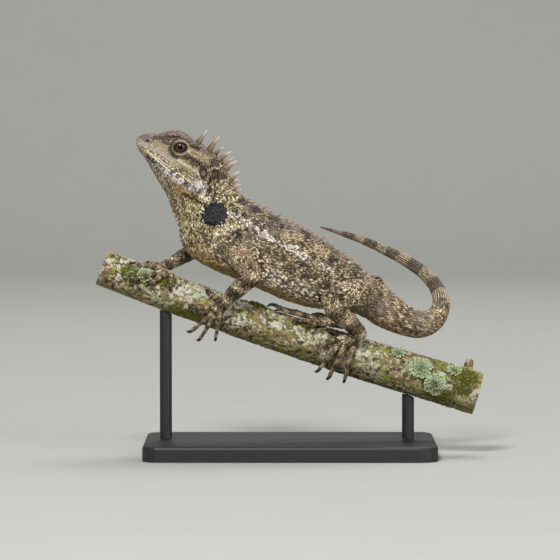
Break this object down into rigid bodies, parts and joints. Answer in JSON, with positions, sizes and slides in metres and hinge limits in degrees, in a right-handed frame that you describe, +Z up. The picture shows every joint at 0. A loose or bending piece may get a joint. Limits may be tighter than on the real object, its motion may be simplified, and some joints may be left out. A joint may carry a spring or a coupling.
{
  "type": "brown pricklenape lizard model",
  "caption": "Still life-size model of a crested agamid lizard gripping a slanting cut length of branch, held over a flat display base by rods.",
  "frame": {"origin": "middle of the underside of the display base, on the surface that it stands on", "axes": "+Z up, +X from the snout towards the tail along the base's length, +Y away from the lizard's left side"},
  "size_m": [0.128, 0.062, 0.1073],
  "materials": {
    "skin": "matt scaly skin, olive brown with tan, cream and dark scales",
    "eye": "glossy copper-brown eye",
    "bark": "rough bark with pale lichen and moss",
    "stand": "matt black"
  },
  "bodies": {
    "root": {"head": "skin", "eye_left": "eye", "eye_right": "eye", "neck": "skin", "torso": "skin", "tail_root": "skin", "tail_bend": "skin", "tail_middle": "skin", "tail_tip": "skin", "upper_arm_left": "skin", "forearm_left": "skin", "hand_left": "skin", "upper_arm_right": "skin", "forearm_right": "skin", "hand_right": "skin", "thigh_left": "skin", "shank_left": "skin", "foot_left": "skin", "thigh_right": "skin", "shank_right": "skin", "foot_right": "skin", "perch_branch": "bark", "stand_base": "stand", "stand_rod_front": "stand", "stand_rod_rear": "stand"}
  },
  "joints": []
}
